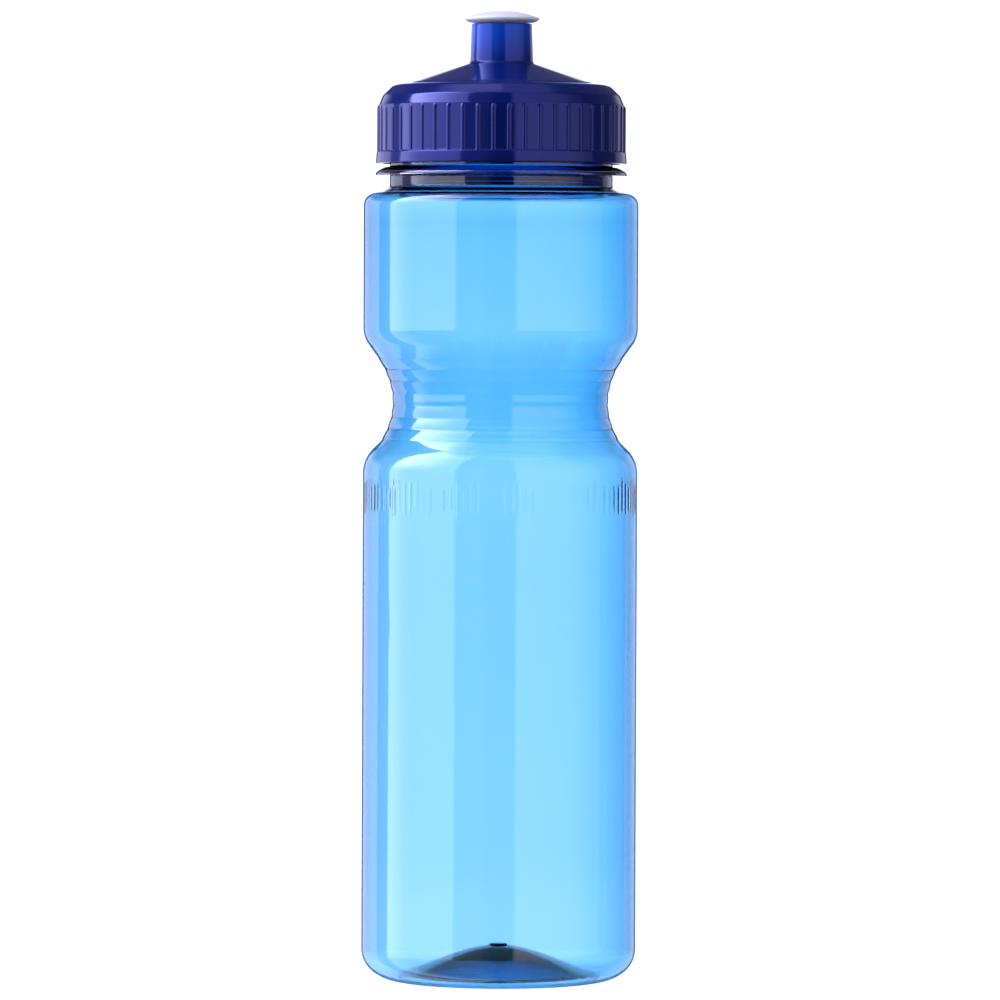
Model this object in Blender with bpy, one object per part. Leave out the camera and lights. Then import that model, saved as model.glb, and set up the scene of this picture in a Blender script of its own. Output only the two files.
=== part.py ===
"""Sports squeeze bottle: a clear blow-moulded body with a ringed waist, a screw lid with a
spout tube, a sealing gasket, and a push-pull drinking valve.

Sizes are in metres.  The origin is on the bottle's axis, on the plane that its foot rests on,
and +Z is up.  Every piece is turned about that axis.
"""
from math import cos, pi, radians, sin, sqrt, tan

import bmesh
import bpy

MM = 0.001

# Clearance left between pieces that touch in the real object
GAP = 0.3 * MM

# ---- Body: outer shape ----
BODY_R = 36.5 * MM
BODY_WALL = 0.6 * MM
BODY_SEGMENTS = 40
FOOT_CORNER_HEIGHT = 8.2 * MM
FOOT_RING_OUT_R = 27.2 * MM
FOOT_RING_IN_R = 26.1 * MM

# Pushed-up floor: the thick middle is a spherical cap above and below
FLOOR_CAP_R = 25.5 * MM
FLOOR_TOP_Z = 9.3 * MM
FLOOR_TOP_SPHERE_R = 50.0 * MM
FLOOR_UNDER_Z = 6.9 * MM
FLOOR_UNDER_SPHERE_R = 60.0 * MM

# Waist: ring creases lie on a parabola about the narrowest height
WAIST_R = 28.5 * MM
WAIST_Z = 153.7 * MM
WAIST_CURVE = 29.4
CREASE_LOW_Z = 143.53 * MM
CREASE_PITCH = 3.13 * MM
CREASE_BANDS = 7
BAND_BULGE = 0.1 * MM

# Shoulders on both sides of the waist: a round turn, then straight to the nearest crease
LOW_SHOULDER_R = 8.9 * MM
LOW_SHOULDER_TURN = radians(45)
HIGH_SHOULDER_R = 8.0 * MM
HIGH_SHOULDER_TURN = radians(36)

# Neck
TOP_SHOULDER_R = 3.5 * MM
TOP_SHOULDER_Z = 205.75 * MM
TOP_SHOULDER_TURN = radians(75)
NECK_R = 29.6 * MM
NECK_BORE_R = 27.5 * MM
NECK_LOW_Z = 210.3 * MM
# Inside, the thick neck ends here and thins down to the shoulder's wall
NECK_BORE_END_Z = 211.5 * MM
NECK_TAPER_R = 28.4 * MM
NECK_TAPER_Z = 209.5 * MM
RIM_Z = 232.8 * MM
RIM_CHAMFER = 0.3 * MM
SUPPORT_RING_R = 33.35 * MM
SUPPORT_RING_LOW_Z = 213.7 * MM
SUPPORT_RING_HIGH_Z = 216.1 * MM
SUPPORT_RING_ROUND = 1.7 * MM

# ---- Screw thread, single start and right-handed, six turns to the inch ----
THREAD_LEAD = 25.4 / 6 * MM
THREAD_TURNS = 1.25
THREAD_STEPS_PER_TURN = 24
THREAD_FADE_STEPS = 3
THREAD_ROOT_WIDTH = 1.9 * MM
THREAD_CREST_WIDTH = 0.9 * MM
THREAD_EMBED = 0.5 * MM
NECK_THREAD_Z = 222.5 * MM
NECK_THREAD_CREST_R = 31.0 * MM
LID_THREAD_DROP = 1.65 * MM
LID_THREAD_CREST_R = 30.2 * MM

# ---- Gasket ----
GASKET_IN_R = 26.7 * MM
GASKET_OUT_R = 29.9 * MM
GASKET_THICKNESS = 1.4 * MM
GASKET_ROUND = 0.25 * MM
GASKET_LOW_Z = RIM_Z + GAP
GASKET_HIGH_Z = GASKET_LOW_Z + GASKET_THICKNESS

# ---- Lid ----
LID_SEGMENTS = 50
LID_LOW_Z = 217.0 * MM
LID_FOOT_R = 33.35 * MM
LID_BAND_R = 33.15 * MM
LID_BAND_Z = 219.9 * MM
LID_LAND_R = 32.7 * MM
LID_LAND_LOW_Z = 220.4 * MM
LID_LAND_HIGH_Z = 232.0 * MM
LID_EDGE_R = 32.5 * MM
LID_EDGE_Z = 232.7 * MM
LID_CROWN_R = 31.5 * MM
LID_CROWN_Z = 234.9 * MM
LID_LEDGE_OUT_R = 29.0 * MM
LID_LEDGE_OUT_Z = 237.5 * MM
LID_CONE_R = 24.2 * MM
LID_CONE_Z = 238.6 * MM
LID_SKIRT_IN_R = 31.45 * MM
LID_SKIRT_TOP_Z = 232.9 * MM
LID_SEAT_Z = GASKET_HIGH_Z + GAP
LID_SEAT_OUT_R = 30.3 * MM
LID_SEAT_IN_R = 26.2 * MM
LID_SEAT_EDGE = 1.0 * MM
LID_TOP_WALL = 1.5 * MM
LID_CEILING_IN_R = 8.0 * MM

LID_RIBS = 50
RIB_ROOT_WIDTH = 1.3 * MM
RIB_CREST_WIDTH = 0.7 * MM
RIB_CREST_R = 33.0 * MM
RIB_LOW_Z = 220.2 * MM
RIB_HIGH_Z = 232.3 * MM
RIB_END_SLOPE = 0.7 * MM
RIB_EMBED = 0.4 * MM

# ---- Spout tube, moulded with the lid ----
SPOUT_FOOT_R = 8.65 * MM
SPOUT_FOOT_Z = 243.7 * MM
SPOUT_COLLAR_R = 9.85 * MM
SPOUT_COLLAR_Z = 243.3 * MM
SPOUT_LOW_R = 8.4 * MM
SPOUT_LOW_Z = 244.2 * MM
SPOUT_TOP_R = 8.0 * MM
SPOUT_TOP_Z = 254.15 * MM
SPOUT_BORE_R = 7.1 * MM
SPOUT_BORE_LOW_Z = 242.2 * MM
SPOUT_LIP_R = 6.6 * MM
SPOUT_LIP_LOW_Z = 252.4 * MM
SPOUT_CHAMFER = 0.25 * MM

# Sealing pin on three spokes in the foot of the spout's bore
PIN_R = 2.0 * MM
PIN_LOW_Z = 242.0 * MM
PIN_TOP_Z = 257.0 * MM
PIN_CHAMFER = 0.5 * MM
PIN_SEGMENTS = 20
SPOKE_COUNT = 3
SPOKE_WIDTH = 1.6 * MM
SPOKE_HEIGHT = 1.6 * MM
SPOKE_LOW_Z = PIN_LOW_Z + 0.1 * MM
SPOKE_REACH_R = 7.7 * MM

# ---- Push-pull valve ----
VALVE_SEGMENTS = 40
VALVE_LOW_Z = 244.2 * MM
VALVE_BEAD_R = SPOUT_BORE_R - GAP
VALVE_BEAD_HEIGHT = 1.8 * MM
VALVE_BEAD_SLOPE = 0.5 * MM
VALVE_STEM_R = SPOUT_LIP_R - GAP
VALVE_BORE_R = 5.0 * MM
VALVE_FLANGE_LOW_Z = SPOUT_TOP_Z + GAP
VALVE_BRIM_LOW_R = 8.7 * MM
VALVE_BRIM_MIDDLE_R = 9.55 * MM
VALVE_BRIM_MIDDLE_Z = 255.4 * MM
VALVE_BRIM_ROUND = 0.45 * MM
VALVE_BRIM_START = radians(-60)
VALVE_BRIM_END = radians(70)
VALVE_DOME_SPHERE_R = 27.7 * MM
VALVE_DOME_TOP_Z = 257.6 * MM
VALVE_DOME_EDGE_R = 9.2 * MM
VALVE_HOLE_R = PIN_R + GAP
VALVE_HOLE_CHAMFER = 0.3 * MM
VALVE_ROOF_Z = 255.5 * MM

SMOOTH_ANGLE = radians(32)


def arc(centre_r, centre_z, radius, start, end, steps):
    """Points of a circular arc in the (r, z) plane; angles are in radians from +r towards +z."""
    turns = [start + (end - start) * i / steps for i in range(steps + 1)]
    return [(centre_r + radius * cos(t), centre_z + radius * sin(t)) for t in turns]


def sphere_cap(top_z, sphere_r, start_r, end_r, steps):
    """Points of a spherical cap with its apex on the axis, from start_r to end_r."""
    radii = [start_r + (end_r - start_r) * i / steps for i in range(steps + 1)]
    return [(r, top_z - sphere_r + sqrt(sphere_r ** 2 - r ** 2)) for r in radii]


def turned_mesh(name, outline, segments, origin_z=0.0):
    """A closed body turned about Z from a closed (r, z) outline; a point at r = 0 is a pole."""
    bm = bmesh.new()
    rings = []
    for r, z in outline:
        count = 1 if r == 0 else segments
        angles = [2 * pi * i / segments for i in range(count)]
        rings.append([bm.verts.new((r * cos(a), r * sin(a), z - origin_z)) for a in angles])
    for lower, upper in zip(rings, rings[1:] + rings[:1]):
        if len(lower) == 1 and len(upper) == 1:
            continue
        for i in range(segments):
            j = (i + 1) % segments
            corners = [lower[i % len(lower)], lower[j % len(lower)]]
            corners += [upper[j % len(upper)], upper[i % len(upper)]]
            bm.faces.new(list(dict.fromkeys(corners)))
    bmesh.ops.recalc_face_normals(bm, faces=bm.faces)
    return finish_mesh(name, bm)


def finish_mesh(name, bm):
    """Turn a bmesh into mesh data, smooth except at real edges."""
    mesh = bpy.data.meshes.new(name)
    bm.to_mesh(mesh)
    bm.free()
    mesh.shade_smooth()
    mesh.set_sharp_from_angle(angle=SMOOTH_ANGLE)
    return mesh


def add_object(name, mesh):
    obj = bpy.data.objects.new(name, mesh)
    bpy.context.scene.collection.objects.link(obj)
    return obj


def give_material(obj, color, roughness, alpha=1.0):
    material = bpy.data.materials.new(obj.name)
    material.use_nodes = True
    shader = material.node_tree.nodes["Principled BSDF"]
    shader.inputs["Base Color"].default_value = (*color, 1.0)
    shader.inputs["Roughness"].default_value = roughness
    shader.inputs["Metallic"].default_value = 0.0
    shader.inputs["Alpha"].default_value = alpha
    obj.data.materials.append(material)


def join_by_union(target, tool):
    """Fuse a tool shape into the target; the tool itself is not a piece of the bottle."""
    tool.hide_render = True
    tool.display_type = "WIRE"
    tool.parent = target
    union = target.modifiers.new("Join " + tool.name, "BOOLEAN")
    union.operation = "UNION"
    union.solver = "EXACT"
    union.object = tool


def thread_ridge(name, wall_r, crest_r, middle_z, origin_z):
    """A trapezoid ridge along a right-handed helix, fading into the wall at both ends."""
    into_wall = 1 if crest_r < wall_r else -1
    root_r = wall_r + into_wall * THREAD_EMBED
    buried_r = wall_r + into_wall * THREAD_EMBED / 2
    steps = round(THREAD_TURNS * THREAD_STEPS_PER_TURN)
    bm = bmesh.new()
    sections = []
    for i in range(steps + 1):
        height = min(1.0, i / THREAD_FADE_STEPS, (steps - i) / THREAD_FADE_STEPS)
        top_r = buried_r + (crest_r - buried_r) * height
        angle = 2 * pi * i / THREAD_STEPS_PER_TURN
        z = middle_z - origin_z + THREAD_LEAD * (i - steps / 2) / THREAD_STEPS_PER_TURN
        corners = [(root_r, -THREAD_ROOT_WIDTH / 2), (top_r, -THREAD_CREST_WIDTH / 2)]
        corners += [(top_r, THREAD_CREST_WIDTH / 2), (root_r, THREAD_ROOT_WIDTH / 2)]
        sections.append([bm.verts.new((r * cos(angle), r * sin(angle), z + dz)) for r, dz in corners])
    for near, far in zip(sections, sections[1:]):
        for i in range(len(near)):
            j = (i + 1) % len(near)
            bm.faces.new((near[i], near[j], far[j], far[i]))
    bm.faces.new(sections[0])
    bm.faces.new(sections[-1])
    bmesh.ops.recalc_face_normals(bm, faces=bm.faces)
    return add_object(name, finish_mesh(name, bm))


def crease(index):
    """The (r, z) of one crease between two waist rings."""
    z = CREASE_LOW_Z + CREASE_PITCH * index
    return WAIST_R + WAIST_CURVE * (z - WAIST_Z) ** 2, z


def waist_creases():
    return [crease(i) for i in range(CREASE_BANDS + 1)]


def waist_outline():
    """Creases with one point between each pair, bulged outwards so that every band is a ring."""
    creases = waist_creases()
    points = [creases[0]]
    for (low_r, low_z), (high_r, high_z) in zip(creases, creases[1:]):
        points.append(((low_r + high_r) / 2 + BAND_BULGE, (low_z + high_z) / 2))
        points.append((high_r, high_z))
    return points


def shoulder_into(crease_point, side, radius, turn, inset):
    """The shoulder between the body's cylinder and an end of the waist.

    side is -1 below the waist and +1 above it; the arc starts on the cylinder.
    """
    straight_r = BODY_R - radius * (1 - cos(turn)) - crease_point[0]
    centre_z = crease_point[1] + side * (straight_r / tan(turn) + radius * sin(turn))
    return arc(BODY_R - radius, centre_z, radius - inset, 0, -side * turn, 3)


def low_shoulder(inset):
    return shoulder_into(crease(0), -1, LOW_SHOULDER_R, LOW_SHOULDER_TURN, inset)


def high_shoulder(inset):
    return shoulder_into(crease(CREASE_BANDS), 1, HIGH_SHOULDER_R, HIGH_SHOULDER_TURN, inset)


def foot_corner(inset, steps):
    """The elliptical corner from the foot ring up to the body's cylinder."""
    width = BODY_R - FOOT_RING_OUT_R - inset
    height = FOOT_CORNER_HEIGHT - inset
    turns = [pi / 2 * i / steps for i in range(steps + 1)]
    return [(FOOT_RING_OUT_R + width * sin(t), FOOT_CORNER_HEIGHT - height * cos(t)) for t in turns]


def body_outline():
    ring_top_z = SUPPORT_RING_HIGH_Z - SUPPORT_RING_ROUND
    ring_in_r = SUPPORT_RING_R - SUPPORT_RING_ROUND
    shoulder_r = BODY_R - TOP_SHOULDER_R

    outside = sphere_cap(FLOOR_UNDER_Z, FLOOR_UNDER_SPHERE_R, 0, FLOOR_CAP_R, 4)
    outside += [(FOOT_RING_IN_R, 0.0)]
    outside += foot_corner(0, 5)
    outside += low_shoulder(0)
    outside += waist_outline()
    outside += high_shoulder(0)[::-1]
    outside += arc(shoulder_r, TOP_SHOULDER_Z, TOP_SHOULDER_R, 0, TOP_SHOULDER_TURN, 4)
    outside += [(NECK_R, NECK_LOW_Z), (NECK_R, SUPPORT_RING_LOW_Z)]
    outside += [(SUPPORT_RING_R, SUPPORT_RING_LOW_Z)]
    outside += arc(ring_in_r, ring_top_z, SUPPORT_RING_ROUND, 0, pi / 2, 3)
    outside += [(NECK_R, SUPPORT_RING_HIGH_Z), (NECK_R, RIM_Z - RIM_CHAMFER)]
    outside += [(NECK_R - RIM_CHAMFER, RIM_Z), (NECK_BORE_R, RIM_Z)]

    # The thick neck thins into the shoulder, and the thin wall follows the outside from there
    inside = [(NECK_BORE_R, NECK_BORE_END_Z), (NECK_TAPER_R, NECK_TAPER_Z)]
    inside += arc(shoulder_r, TOP_SHOULDER_Z, TOP_SHOULDER_R - BODY_WALL, TOP_SHOULDER_TURN, 0, 3)
    inside += high_shoulder(BODY_WALL)
    inside += [(r - BODY_WALL, z) for r, z in reversed(waist_creases())]
    inside += low_shoulder(BODY_WALL)[::-1]
    inside += foot_corner(BODY_WALL, 4)[::-1]
    inside += sphere_cap(FLOOR_TOP_Z, FLOOR_TOP_SPHERE_R, FLOOR_CAP_R, 0, 4)
    return outside + inside


def make_bottle_body():
    body = add_object("bottle_body", turned_mesh("bottle_body", body_outline(), BODY_SEGMENTS))
    ridge = thread_ridge("neck_thread", NECK_R, NECK_THREAD_CREST_R, NECK_THREAD_Z, 0.0)
    join_by_union(body, ridge)
    give_material(body, (0.22, 0.62, 0.95), 0.05, 0.35)
    return body


def make_gasket(parent):
    low = GASKET_ROUND
    high = GASKET_THICKNESS - GASKET_ROUND
    inner = GASKET_IN_R + GASKET_ROUND
    outer = GASKET_OUT_R - GASKET_ROUND
    outline = [(inner, 0.0), (outer, 0.0), (GASKET_OUT_R, low), (GASKET_OUT_R, high)]
    outline += [(outer, GASKET_THICKNESS), (inner, GASKET_THICKNESS)]
    outline += [(GASKET_IN_R, high), (GASKET_IN_R, low)]
    gasket = add_object("lid_gasket", turned_mesh("lid_gasket", outline, BODY_SEGMENTS))
    gasket.parent = parent
    gasket.location.z = GASKET_LOW_Z
    give_material(gasket, (0.82, 0.83, 0.85), 0.6)
    return gasket


def lid_outline():
    cone_slope = (SPOUT_FOOT_Z - LID_CONE_Z) / (LID_CONE_R - SPOUT_FOOT_R)
    inner_cone_drop = LID_TOP_WALL * sqrt(1 + cone_slope ** 2)
    ceiling_z = LID_CONE_Z + cone_slope * (LID_CONE_R - LID_CEILING_IN_R) - inner_cone_drop
    skirt_foot_r = LID_SKIRT_IN_R + GAP

    outside = [(LID_FOOT_R, LID_LOW_Z), (LID_BAND_R, LID_BAND_Z), (LID_LAND_R, LID_LAND_LOW_Z)]
    outside += [(LID_LAND_R, LID_LAND_HIGH_Z), (LID_EDGE_R, LID_EDGE_Z)]
    outside += [(LID_CROWN_R, LID_CROWN_Z), (LID_LEDGE_OUT_R, LID_LEDGE_OUT_Z)]
    outside += [(LID_CONE_R, LID_CONE_Z), (SPOUT_COLLAR_R, SPOUT_COLLAR_Z)]
    outside += [(SPOUT_FOOT_R, SPOUT_FOOT_Z), (SPOUT_LOW_R, SPOUT_LOW_Z)]
    outside += [(SPOUT_TOP_R, SPOUT_TOP_Z - SPOUT_CHAMFER)]
    outside += [(SPOUT_TOP_R - SPOUT_CHAMFER, SPOUT_TOP_Z), (SPOUT_LIP_R + SPOUT_CHAMFER, SPOUT_TOP_Z)]

    lip_step = SPOUT_BORE_R - SPOUT_LIP_R
    inside = [(SPOUT_LIP_R, SPOUT_TOP_Z - SPOUT_CHAMFER), (SPOUT_LIP_R, SPOUT_LIP_LOW_Z + lip_step)]
    inside += [(SPOUT_BORE_R, SPOUT_LIP_LOW_Z), (SPOUT_BORE_R, SPOUT_BORE_LOW_Z)]
    inside += [(LID_CEILING_IN_R, ceiling_z), (LID_CONE_R, LID_CONE_Z - inner_cone_drop)]
    inside += [(LID_SEAT_IN_R, LID_SEAT_Z + LID_SEAT_EDGE), (LID_SEAT_IN_R, LID_SEAT_Z)]
    inside += [(LID_SEAT_OUT_R, LID_SEAT_Z), (LID_SKIRT_IN_R, LID_SKIRT_TOP_Z)]
    inside += [(LID_SKIRT_IN_R, LID_LOW_Z + GAP), (skirt_foot_r, LID_LOW_Z)]
    return outside + inside


def grip_ribs(origin_z):
    """The upright ribs around the skirt, as one tool shape of separate bars."""
    bm = bmesh.new()
    foot_r = LID_LAND_R - RIB_EMBED
    sections = [(foot_r, RIB_LOW_Z, RIB_ROOT_WIDTH), (RIB_CREST_R, RIB_LOW_Z, RIB_CREST_WIDTH)]
    sections += [(RIB_CREST_R, RIB_HIGH_Z - RIB_END_SLOPE, RIB_CREST_WIDTH)]
    sections += [(foot_r, RIB_HIGH_Z, RIB_ROOT_WIDTH)]
    for index in range(LID_RIBS):
        angle = 2 * pi * (index + 0.5) / LID_RIBS
        sides = []
        for side in (-0.5, 0.5):
            corners = []
            for r, z, width in sections:
                across = side * width
                x = r * cos(angle) - across * sin(angle)
                y = r * sin(angle) + across * cos(angle)
                corners.append(bm.verts.new((x, y, z - origin_z)))
            sides.append(corners)
            bm.faces.new(corners)
        for i in range(len(sections)):
            j = (i + 1) % len(sections)
            bm.faces.new((sides[0][i], sides[0][j], sides[1][j], sides[1][i]))
    bmesh.ops.recalc_face_normals(bm, faces=bm.faces)
    return add_object("grip_ribs", finish_mesh("grip_ribs", bm))


def sealing_pin(origin_z):
    outline = [(0.0, PIN_LOW_Z), (PIN_R, PIN_LOW_Z), (PIN_R, PIN_TOP_Z - PIN_CHAMFER)]
    outline += [(PIN_R - PIN_CHAMFER, PIN_TOP_Z), (0.0, PIN_TOP_Z)]
    return add_object("sealing_pin", turned_mesh("sealing_pin", outline, PIN_SEGMENTS, origin_z))


def pin_spoke(index, origin_z):
    """One bar from the middle of the pin into the wall of the spout."""
    bm = bmesh.new()
    bmesh.ops.create_cube(bm, size=1.0)
    bmesh.ops.scale(bm, verts=bm.verts, vec=(SPOKE_REACH_R, SPOKE_WIDTH, SPOKE_HEIGHT))
    height = SPOKE_LOW_Z - origin_z + SPOKE_HEIGHT / 2
    bmesh.ops.translate(bm, verts=bm.verts, vec=(SPOKE_REACH_R / 2, 0, height))
    spoke = add_object("pin_spoke_%d" % index, finish_mesh("pin_spoke_%d" % index, bm))
    spoke.rotation_euler.z = 2 * pi * index / SPOKE_COUNT
    return spoke


def make_lid(parent):
    lid = add_object("screw_lid", turned_mesh("screw_lid", lid_outline(), LID_SEGMENTS, LID_LOW_Z))
    lid.parent = parent
    lid.location.z = LID_LOW_Z - GASKET_LOW_Z
    thread_z = NECK_THREAD_Z - LID_THREAD_DROP
    join_by_union(lid, grip_ribs(LID_LOW_Z))
    join_by_union(lid, thread_ridge("lid_thread", LID_SKIRT_IN_R, LID_THREAD_CREST_R, thread_z, LID_LOW_Z))
    join_by_union(lid, sealing_pin(LID_LOW_Z))
    for index in range(SPOKE_COUNT):
        join_by_union(lid, pin_spoke(index, LID_LOW_Z))
    give_material(lid, (0.01, 0.04, 0.28), 0.08)
    return lid


def valve_outline():
    bead_low = VALVE_LOW_Z + VALVE_BEAD_SLOPE
    bead_high = bead_low + VALVE_BEAD_HEIGHT
    hole_top_r = VALVE_HOLE_R + VALVE_HOLE_CHAMFER

    outside = [(VALVE_STEM_R, VALVE_LOW_Z), (VALVE_BEAD_R, bead_low), (VALVE_BEAD_R, bead_high)]
    outside += [(VALVE_STEM_R, bead_high + VALVE_BEAD_SLOPE), (VALVE_STEM_R, VALVE_FLANGE_LOW_Z)]
    outside += [(VALVE_BRIM_LOW_R, VALVE_FLANGE_LOW_Z)]
    outside += arc(VALVE_BRIM_MIDDLE_R, VALVE_BRIM_MIDDLE_Z, VALVE_BRIM_ROUND,
                   VALVE_BRIM_START, VALVE_BRIM_END, 3)
    outside += sphere_cap(VALVE_DOME_TOP_Z, VALVE_DOME_SPHERE_R, VALVE_DOME_EDGE_R, hole_top_r, 4)

    hole_top_z = outside[-1][1]
    inside = [(VALVE_HOLE_R, hole_top_z - VALVE_HOLE_CHAMFER), (VALVE_HOLE_R, VALVE_ROOF_Z)]
    inside += [(VALVE_BORE_R, VALVE_ROOF_Z), (VALVE_BORE_R, VALVE_LOW_Z)]
    return outside + inside


def make_valve(parent):
    outline = valve_outline()
    valve = add_object("pull_valve", turned_mesh("pull_valve", outline, VALVE_SEGMENTS, SPOUT_TOP_Z))
    valve.parent = parent
    valve.location.z = SPOUT_TOP_Z - LID_LOW_Z
    give_material(valve, (0.72, 0.76, 0.83), 0.35)
    return valve


def main():
    for obj in list(bpy.data.objects):
        bpy.data.objects.remove(obj)
    body = make_bottle_body()
    gasket = make_gasket(body)
    lid = make_lid(gasket)
    make_valve(lid)


main()
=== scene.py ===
"""The looks of the sports squeeze bottle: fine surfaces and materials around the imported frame.

Sizes are in metres.  The bottle stands on z = 0 with its axis on Z, and the camera looks along +Y.
"""
from math import atan, cos, exp, pi, radians, sin, sqrt, tan

import bmesh
import bpy
from mathutils import Matrix, Vector, noise


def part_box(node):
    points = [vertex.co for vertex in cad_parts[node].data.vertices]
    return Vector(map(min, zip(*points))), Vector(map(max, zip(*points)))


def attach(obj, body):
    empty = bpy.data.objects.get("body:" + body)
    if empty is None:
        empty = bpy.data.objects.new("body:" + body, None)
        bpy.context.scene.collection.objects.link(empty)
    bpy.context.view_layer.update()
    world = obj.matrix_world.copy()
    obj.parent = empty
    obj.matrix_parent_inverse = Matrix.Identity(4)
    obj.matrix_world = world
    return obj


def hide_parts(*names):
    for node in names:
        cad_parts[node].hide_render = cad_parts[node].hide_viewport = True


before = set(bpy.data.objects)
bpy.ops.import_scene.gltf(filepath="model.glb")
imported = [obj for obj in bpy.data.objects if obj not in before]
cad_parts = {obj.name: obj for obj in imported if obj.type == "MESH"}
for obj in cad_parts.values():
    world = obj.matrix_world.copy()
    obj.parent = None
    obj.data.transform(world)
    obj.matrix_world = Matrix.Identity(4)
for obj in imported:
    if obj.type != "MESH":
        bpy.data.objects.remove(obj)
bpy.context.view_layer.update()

MM = 0.001
BODY_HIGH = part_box("bottle_body")[1]
GASKET_LOW, GASKET_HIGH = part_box("lid_gasket")
LID_LOW, LID_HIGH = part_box("screw_lid")
VALVE_LOW, VALVE_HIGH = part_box("pull_valve")

# ---- Bottle: heights from the foot, radii from the axis ----
BODY_R = BODY_HIGH[0]
RIM_Z = BODY_HIGH[2]
WALL = 0.36 * MM
FOOT_CORNER_HEIGHT = 8.2 * MM
FOOT_RING_OUT_R = 27.2 * MM
FOOT_RING_IN_R = 26.3 * MM
FOOT_RING_EDGE = 0.3 * MM

# The pushed-up floor: its top face, its underside, and the gate mark in its middle
FLOOR_CAP_R = 25.8 * MM
FLOOR_TOP_Z = 9.3 * MM
FLOOR_TOP_SPHERE_R = 50.0 * MM
FLOOR_EDGE_Z = 1.05 * MM
FLOOR_EDGE_IN_R = FLOOR_CAP_R + 0.9 * MM
FLOOR_UNDER_Z = 7.2 * MM
FLOOR_UNDER_SPHERE_R = 60.0 * MM
FLOOR_UNDER_EDGE_Z = 0.6 * MM
GATE_R = 2.3 * MM
GATE_EDGE = 0.4 * MM
GATE_DROP = 0.9 * MM
GATE_RISE = 0.45 * MM

# The waist's creases lie on a parabola; between them the wall bulges in bands
WAIST_R = 28.5 * MM
WAIST_Z = 153.7 * MM
WAIST_CURVE = 29.4
CREASE_LOW_Z = 143.53 * MM
CREASE_PITCH = 3.13 * MM
CREASE_BANDS = 7
BAND_BULGE = 0.11 * MM
LOW_CREASE_BEAD = 0.14 * MM
CREASE_BEAD = 0.03 * MM
CREASE_BEAD_REACH = 0.5 * MM
LOW_SHOULDER_R = 8.9 * MM
LOW_SHOULDER_TURN = 45
HIGH_SHOULDER_R = 8.0 * MM
HIGH_SHOULDER_TURN = 36

# The blown wall is thinnest low down and thickest in the narrow waist: (height, thickness) in mm
WALL_PROFILE = ((0, 0.36), (16, 0.36), (37, 0.40), (110, 0.425), (138, 0.41), (146, 0.60),
                (163, 0.63), (171, 0.46), (199, 0.44), (206, 0.50))

TOP_SHOULDER_R = 3.5 * MM
TOP_SHOULDER_Z = 205.85 * MM
TOP_SHOULDER_TURN = 79
TOP_SHOULDER_IN_TURN = 62
SHOULDER_WALL = 0.46 * MM
NECK_R = 29.6 * MM
NECK_BORE_R = 27.5 * MM
NECK_LOW_Z = 210.6 * MM
NECK_BORE_LOW_Z = 211.0 * MM
NECK_FUNNEL = (28.6 * MM, 209.45 * MM)
RIM_ROUND = 0.35 * MM
SUPPORT_RING_R = 33.4 * MM
SUPPORT_RING_LOW_Z = 213.7 * MM
SUPPORT_RING_HIGH_Z = 216.1 * MM

# How many steps each curve of the bottle's outline has
UNDER_FLOOR_STEPS = 20
TOP_FLOOR_STEPS = 22
FOOT_OUT_STEPS = 22
FOOT_IN_STEPS = 18
SHOULDER_STEPS = 10
BAND_STEPS = 12
TOP_SHOULDER_STEPS = 12
BOTTLE_SPACING = 4 * MM
BOTTLE_SEGMENTS = 288

# Slight unevenness of the blown wall, from noise read along a circle: the circle's radius, the waves per
# metre upwards, how far the wall moves, and the height where it starts to fade out
RIPPLE_ROUND = 1.9
RIPPLE_UP = 26
RIPPLE_HEIGHT = 0.012 * MM
RIPPLE_FADE_Z = 200 * MM

# Dents and the shallow scuffs beside them: (degrees from the camera's side, height, size, depth)
DENTS = (
    (-56, 96.3 * MM, 3.4 * MM, 0.10 * MM),
    (-40, 98.0 * MM, 5.0 * MM, 0.03 * MM),
    (60, 77.4 * MM, 2.6 * MM, 0.09 * MM),
    (52, 75.6 * MM, 3.2 * MM, 0.03 * MM),
)

# Raised bars moulded around the body below the waist.  Half widths are shares of a bar's pitch, and
# ends are shares of the band's height
RELIEF_LOW_Z = 123.3 * MM
RELIEF_HIGH_Z = 134.2 * MM
RELIEF_HEIGHT = 0.08 * MM
RELIEF_BARS = 112
BAR_HALF_WIDTH = 0.14
BAR_EXTRA_WIDTH = 0.14
BAR_EDGE = 0.13
BAR_LOW_SPREAD = 0.18
BAR_HIGH_SPREAD = 0.2
BAR_END = 0.08
BAR_LEAST_DEPTH = 0.25
BAR_WIDTH_SEED, BAR_LOW_SEED, BAR_HIGH_SEED, BAR_DEPTH_SEED = 31.5, 0.5, 77.5, 9.5
INNER_RELIEF = -0.7

# Faint upright streaks left by the blowing: waves per metre along x, y and z
STREAK_SCALE = (600, 600, 9)
STREAK_DETAIL = 2.0
STREAK_HEIGHT = 0.014 * MM

# ---- Screw thread ----
THREAD_LEAD = 25.4 / 6 * MM
THREAD_TURNS = 1.25
THREAD_ROOT_HALF = 0.95 * MM
THREAD_CREST_HALF = 0.45 * MM
THREAD_FADE_TURNS = 0.1
NECK_THREAD_Z = 222.5 * MM
NECK_THREAD_HEIGHT = 1.4 * MM

# The neck's wall is cut finely this far below and above the thread's middle
THREAD_REACH = 4 * MM
THREAD_SPACING = 0.22 * MM

LID_THREAD_DROP = 1.65 * MM
LID_THREAD_HEIGHT = 1.25 * MM

# A point this near to a wall's radius counts as lying on the wall, and this near to 0 as lying on the axis
ON_WALL = 0.01 * MM
ON_AXIS = 0.0001 * MM

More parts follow.
